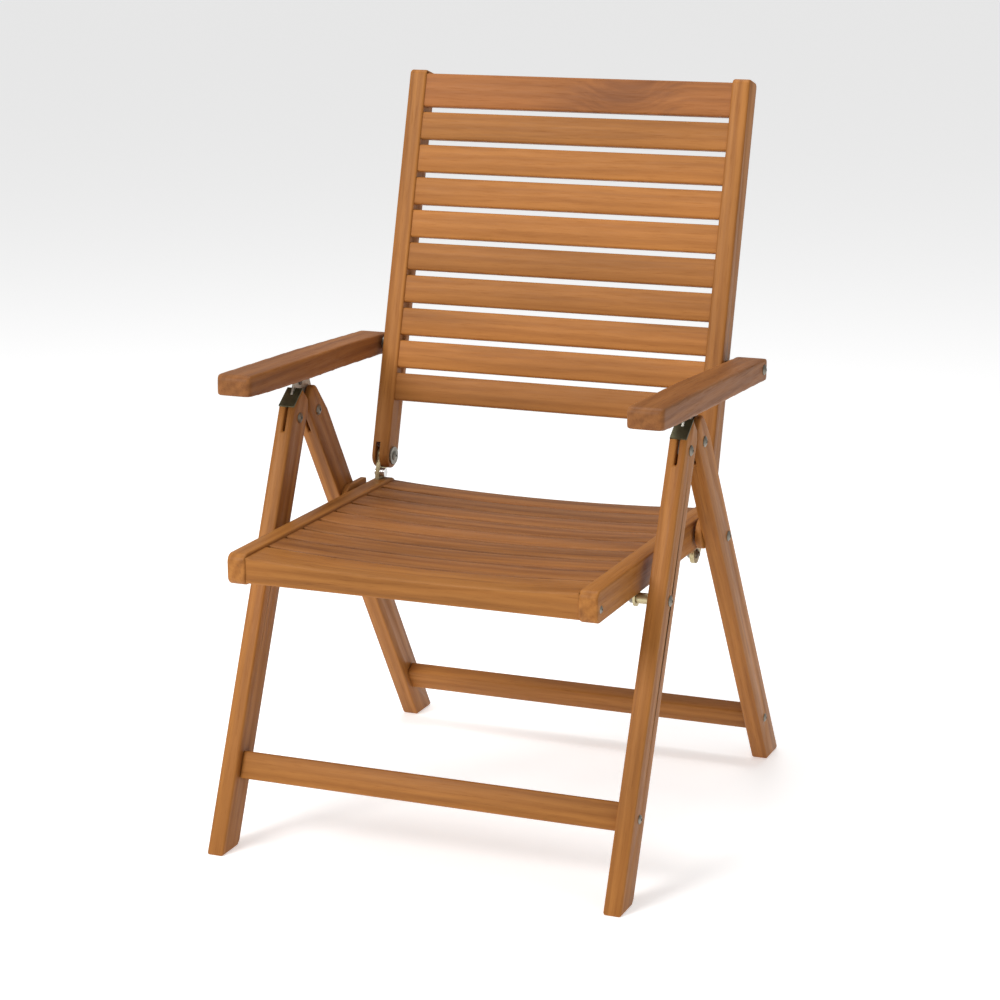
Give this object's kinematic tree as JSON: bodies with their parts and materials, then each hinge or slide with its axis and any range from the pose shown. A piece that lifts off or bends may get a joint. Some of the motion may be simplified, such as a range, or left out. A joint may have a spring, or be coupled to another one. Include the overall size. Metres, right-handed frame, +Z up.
{
  "type": "folding chair",
  "caption": "Folding reclining armchair with slatted timber seat and back, splayed leg frames, shaped armrests and zinc-plated pivot fittings.",
  "frame": {"origin": "on the floor below the middle of the chair's outer box", "axes": "+Z up, -Y the way the sitter faces, +X to the sitter's left"},
  "size_m": [0.61, 0.6748, 0.9658],
  "materials": {
    "leg_timber": "oiled hardwood, satin",
    "seat_timber": "oiled hardwood, satin",
    "back_timber": "oiled hardwood, satin",
    "arm_timber": "oiled hardwood, satin",
    "zinc_plate": "zinc-plated sheet steel",
    "zinc_bolt": "zinc-plated bolts and screws",
    "yellow_zinc": "yellow-passivated zinc on steel",
    "dark_steel": "dark oiled steel"
  },
  "bodies": {
    "front_frame": {"front_leg_left": "leg_timber", "front_leg_right": "leg_timber", "front_cross_rail": "leg_timber", "leg_brackets": "zinc_plate", "leg_saddles": "dark_steel", "bracket_rivets": "dark_steel", "front_leg_bolts": "zinc_bolt", "seat_pivot_bolts": "zinc_bolt", "seat_pivot_spacers": "yellow_zinc", "front_rail_screws": "zinc_bolt"},
    "rear_frame": {"rear_leg_left": "leg_timber", "rear_leg_right": "leg_timber", "rear_cross_rail": "leg_timber", "rear_leg_bolts": "zinc_bolt", "rest_blocks": "leg_timber", "rest_block_bolts": "zinc_bolt", "fold_bumpers": "dark_steel", "rear_rail_screws": "zinc_bolt"},
    "seat": {"seat_rail_left": "seat_timber", "seat_rail_right": "seat_timber", "seat_front_slat": "seat_timber", "seat_slat_1": "seat_timber", "seat_slat_2": "seat_timber", "seat_slat_3": "seat_timber", "seat_slat_4": "seat_timber", "seat_slat_5": "seat_timber", "seat_slat_6": "seat_timber", "seat_slat_7": "seat_timber", "seat_slat_8": "seat_timber", "seat_lugs": "yellow_zinc", "hinge_straps": "yellow_zinc", "strap_bolts": "zinc_bolt", "stop_studs": "zinc_bolt", "seat_screws": "zinc_bolt"},
    "hinge_pins": {"back_hinge_bolts": "zinc_bolt", "back_hinge_bushes": "zinc_bolt"},
    "back": {"stile_left": "back_timber", "stile_right": "back_timber", "back_top_slat": "back_timber", "back_slat_1": "back_timber", "back_slat_2": "back_timber", "back_slat_3": "back_timber", "back_slat_4": "back_timber", "back_slat_5": "back_timber", "back_slat_6": "back_timber", "back_slat_7": "back_timber", "back_slat_8": "back_timber", "back_slat_9": "back_timber"},
    "arm_pins": {"arm_bolts": "zinc_bolt", "arm_washers": "zinc_bolt"},
    "arms": {"arm_left": "arm_timber", "arm_right": "arm_timber", "arm_tracks": "zinc_plate", "arm_track_screws": "dark_steel"}
  },
  "joints": [
    {"name": "seat_fold", "type": "hinge", "parent": "front_frame", "child": "seat", "pos_m": [0, -0.16141, 0.3555], "axis": [1, 0, 0], "range_deg": [0, 62]},
    {"name": "rear_legs_swing", "type": "hinge", "parent": "front_frame", "child": "rear_frame", "pos_m": [0, -0.02901, 0.532], "axis": [1, 0, 0], "range_deg": [-56.3, 0.5]},
    {"name": "back_fold", "type": "hinge", "parent": "seat", "child": "hinge_pins", "pos_m": [0, 0.12709, 0.438], "axis": [1, 0, 0], "range_deg": [-69.63, 0.5]},
    {"name": "back_recline", "type": "hinge", "parent": "hinge_pins", "child": "back", "pos_m": [0, 0.12709, 0.438], "axis": [-1, 0, 0], "range_deg": [0, 22]},
    {"name": "arm_recline", "type": "hinge", "parent": "back", "child": "arm_pins", "pos_m": [0, 0.17537, 0.58905], "axis": [1, 0, 0], "range_deg": [-0.5, 15.57]},
    {"name": "arm_fold", "type": "hinge", "parent": "arm_pins", "child": "arms", "pos_m": [0, 0.17537, 0.58905], "axis": [1, 0, 0], "range_deg": [-0.5, 71.49]}
  ],
  "couplings": [
    {"joint": "rear_legs_swing", "follows": "seat_fold", "ratio": -0.9},
    {"joint": "back_fold", "follows": "seat_fold", "ratio": -1.115},
    {"joint": "arm_fold", "follows": "seat_fold", "ratio": 1.145},
    {"joint": "arm_recline", "follows": "back_recline", "ratio": 0.685}
  ]
}
